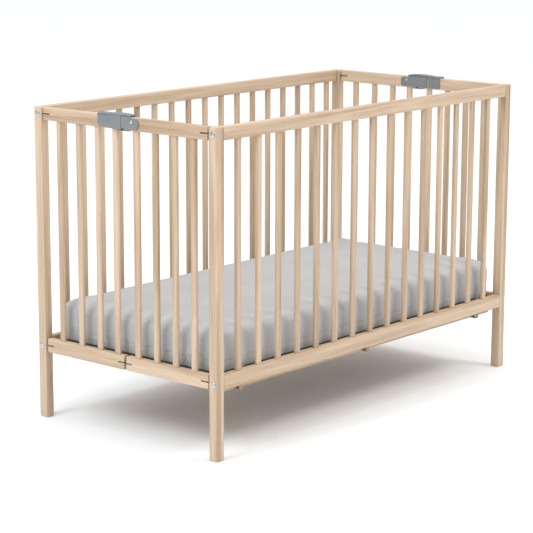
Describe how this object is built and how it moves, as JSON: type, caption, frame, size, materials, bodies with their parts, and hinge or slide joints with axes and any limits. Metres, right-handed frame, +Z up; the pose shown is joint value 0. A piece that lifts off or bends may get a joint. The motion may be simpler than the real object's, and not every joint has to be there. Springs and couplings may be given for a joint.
{
  "type": "folding slatted baby cot",
  "caption": "Slatted wooden cot with square legs whose ends fold inward at the middle on flat hinge plates held by plastic locks, with a tilting slatted base and a mattress.",
  "frame": {"origin": "on the floor under the middle of the cot", "axes": "+X along the length, +Y across the width towards the back side, +Z up"},
  "size_m": [1.2668, 0.635, 0.8351],
  "materials": {
    "beech": "pale beech, satin lacquer",
    "lock_plastic": "moulded mid grey, fine matt texture",
    "zinc": "zinc plated",
    "hinge_steel": "zinc plated flat steel",
    "mattress_cloth": "light grey woven cotton"
  },
  "bodies": {
    "back_side": {"back_left_leg": "beech", "back_right_leg": "beech", "back_top_rail": "beech", "back_lower_slatted_rail": "beech", "back_left_top_bolt": "zinc", "back_left_top_nut": "zinc", "back_left_top_hinge": "hinge_steel", "back_left_lower_bolt": "zinc", "back_left_lower_nut": "zinc", "back_left_lower_hinge": "hinge_steel", "back_right_top_bolt": "zinc", "back_right_top_nut": "zinc", "back_right_top_hinge": "hinge_steel", "back_right_lower_bolt": "zinc", "back_right_lower_nut": "zinc", "back_right_lower_hinge": "hinge_steel", "base_hinge_left": "hinge_steel", "base_hinge_middle": "hinge_steel", "base_hinge_right": "hinge_steel"},
    "left_back_half": {"left_back_half_top_rail": "beech", "left_back_half_lower_slatted_rail": "beech", "left_lock_catch": "lock_plastic"},
    "left_link": {"left_top_link": "hinge_steel", "left_lower_link": "hinge_steel"},
    "left_front_half": {"left_front_half_top_rail": "beech", "left_front_half_lower_slatted_rail": "beech", "left_lock_bolt": "zinc"},
    "left_lock": {"left_lock_lever": "lock_plastic"},
    "front_side": {"front_left_leg": "beech", "front_right_leg": "beech", "front_top_rail": "beech", "front_lower_slatted_rail": "beech", "front_left_top_bolt": "zinc", "front_left_top_nut": "zinc", "front_left_top_hinge": "hinge_steel", "front_left_lower_bolt": "zinc", "front_left_lower_nut": "zinc", "front_left_lower_hinge": "hinge_steel", "front_right_top_bolt": "zinc", "front_right_top_nut": "zinc", "front_right_top_hinge": "hinge_steel", "front_right_lower_bolt": "zinc", "front_right_lower_nut": "zinc", "front_right_lower_hinge": "hinge_steel", "base_ledge": "beech", "base_support_left": "hinge_steel", "base_support_middle": "hinge_steel", "base_support_right": "hinge_steel"},
    "right_back_half": {"right_back_half_top_rail": "beech", "right_back_half_lower_slatted_rail": "beech", "right_lock_bolt": "zinc"},
    "right_link": {"right_top_link": "hinge_steel", "right_lower_link": "hinge_steel"},
    "right_front_half": {"right_front_half_top_rail": "beech", "right_front_half_lower_slatted_rail": "beech", "right_lock_catch": "lock_plastic"},
    "right_lock": {"right_lock_lever": "lock_plastic"},
    "base": {"base_back_rail": "beech", "base_slats": "beech"},
    "mattress": {"mattress": "mattress_cloth"}
  },
  "joints": [
    {"name": "fold", "type": "hinge", "parent": "back_side", "child": "left_back_half", "pos_m": [-0.619, 0.2685, 0.4], "axis": [0, 0, 1], "range_deg": [0, 88], "deforming": ["mattress"]},
    {"name": "left_link_turn", "type": "hinge", "parent": "left_back_half", "child": "left_link", "pos_m": [-0.619, 0.015, 0.4], "axis": [0, 0, 1], "range_deg": [-88, 0]},
    {"name": "left_front_turn", "type": "hinge", "parent": "left_link", "child": "left_front_half", "pos_m": [-0.619, -0.015, 0.4], "axis": [0, 0, 1], "range_deg": [-88, 0]},
    {"name": "front_turn", "type": "hinge", "parent": "left_front_half", "child": "front_side", "pos_m": [-0.619, -0.2685, 0.4], "axis": [0, 0, 1], "range_deg": [0, 88]},
    {"name": "right_back_turn", "type": "hinge", "parent": "back_side", "child": "right_back_half", "pos_m": [0.619, 0.2685, 0.4], "axis": [0, 0, 1], "range_deg": [-88, 0]},
    {"name": "right_link_turn", "type": "hinge", "parent": "right_back_half", "child": "right_link", "pos_m": [0.619, 0.015, 0.4], "axis": [0, 0, 1], "range_deg": [0, 88]},
    {"name": "right_front_turn", "type": "hinge", "parent": "right_link", "child": "right_front_half", "pos_m": [0.619, -0.015, 0.4], "axis": [0, 0, 1], "range_deg": [0, 88]},
    {"name": "left_lock_lift", "type": "hinge", "parent": "left_front_half", "child": "left_lock", "pos_m": [-0.619, -0.0345, 0.8195], "axis": [1, 0, 0], "range_deg": [0, 70]},
    {"name": "right_lock_lift", "type": "hinge", "parent": "right_back_half", "child": "right_lock", "pos_m": [0.619, 0.0345, 0.8195], "axis": [-1, 0, 0], "range_deg": [0, 70]},
    {"name": "base_tilt", "type": "hinge", "parent": "back_side", "child": "base", "pos_m": [0, 0.288, 0.173], "axis": [-1, 0, 0], "range_deg": [0, 90]},
    {"name": "mattress_lift", "type": "slide", "parent": "back_side", "child": "mattress", "axis": [0, 0, 1], "range_m": [0, 0.7]}
  ],
  "couplings": [
    {"joint": "left_link_turn", "follows": "fold", "ratio": -1},
    {"joint": "left_front_turn", "follows": "fold", "ratio": -1},
    {"joint": "front_turn", "follows": "fold", "ratio": 1},
    {"joint": "right_back_turn", "follows": "fold", "ratio": -1},
    {"joint": "right_link_turn", "follows": "fold", "ratio": 1},
    {"joint": "right_front_turn", "follows": "fold", "ratio": 1}
  ]
}
